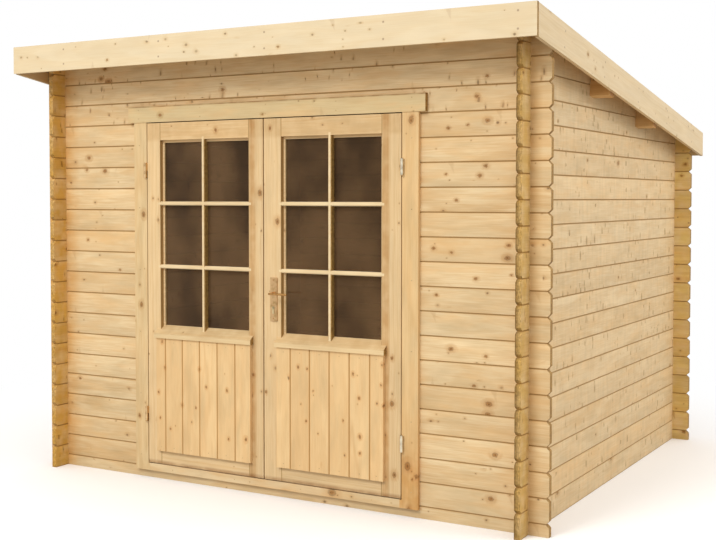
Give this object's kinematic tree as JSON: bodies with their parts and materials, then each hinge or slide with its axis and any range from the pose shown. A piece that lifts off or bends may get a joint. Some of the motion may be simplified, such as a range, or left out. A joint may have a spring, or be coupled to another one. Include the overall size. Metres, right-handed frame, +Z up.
{
  "type": "wooden garden house",
  "caption": "Small log-built garden house with a roof sloping to the back and a glazed double door that opens outwards.",
  "frame": {"origin": "middle of the bounding box's underside, on the ground", "axes": "+X to the right seen from the front, -Y out of the door wall, +Z up"},
  "size_m": [3.01, 2.83, 2.3044],
  "materials": {
    "log_wood": "planed spruce, untreated",
    "roof_wood": "planed spruce boards",
    "fascia_wood": "planed pale spruce",
    "purlin_wood": "planed spruce, darker",
    "floor_wood": "planed spruce boards",
    "bearer_wood": "pressure-treated softwood",
    "frame_wood": "planed spruce",
    "casing_wood": "planed pale spruce",
    "leaf_wood": "planed spruce",
    "panel_wood": "planed spruce boards",
    "felt": "sanded bitumen roofing felt",
    "window_glass": "clear float glass",
    "hinge_brass": "yellow zinc plating, satin",
    "lever_brass": "old gold, satin"
  },
  "bodies": {
    "house": {"front_bottom_log": "log_wood", "front_wall_left": "log_wood", "front_wall_right": "log_wood", "front_wall_top": "log_wood", "left_wall": "log_wood", "right_wall": "log_wood", "back_wall": "log_wood", "front_purlin": "purlin_wood", "rear_purlin": "purlin_wood", "roof_boards": "roof_wood", "roof_felt": "felt", "front_fascia": "fascia_wood", "rear_fascia": "fascia_wood", "left_fascia": "fascia_wood", "right_fascia": "fascia_wood", "floor_bearers": "bearer_wood", "floor_boards": "floor_wood", "left_post": "frame_wood", "right_post": "frame_wood", "door_head": "frame_wood", "head_casing": "casing_wood", "door_sill": "frame_wood", "left_hinge_pins": "hinge_brass", "right_hinge_pins": "hinge_brass"},
    "left_door": {"left_leaf_frame": "leaf_wood", "left_glass": "window_glass", "left_glazing_bars": "leaf_wood", "left_glass_beads": "leaf_wood", "left_panel": "panel_wood", "left_weather_bar": "leaf_wood", "left_hinge_knuckles": "hinge_brass"},
    "right_door": {"right_leaf_frame": "leaf_wood", "right_glass": "window_glass", "right_glazing_bars": "leaf_wood", "right_glass_beads": "leaf_wood", "right_panel": "panel_wood", "right_weather_bar": "leaf_wood", "right_hinge_knuckles": "hinge_brass", "lever_plates": "lever_brass", "lock_cylinder": "lever_brass"},
    "lever": {"lever_handle": "lever_brass"}
  },
  "joints": [
    {"name": "left_door_hinge", "type": "hinge", "parent": "house", "child": "left_door", "pos_m": [-0.766, -1.207, 1], "axis": [0, 0, -1], "range_deg": [0, 110]},
    {"name": "right_door_hinge", "type": "hinge", "parent": "house", "child": "right_door", "pos_m": [0.766, -1.207, 1], "axis": [0, 0, 1], "range_deg": [0, 110]},
    {"name": "lever_turn", "type": "hinge", "parent": "right_door", "child": "lever", "pos_m": [0.0475, -1.198, 1.018], "axis": [0, 1, 0], "range_deg": [0, 40], "stiffness_Nm_per_rad": 0.8}
  ]
}
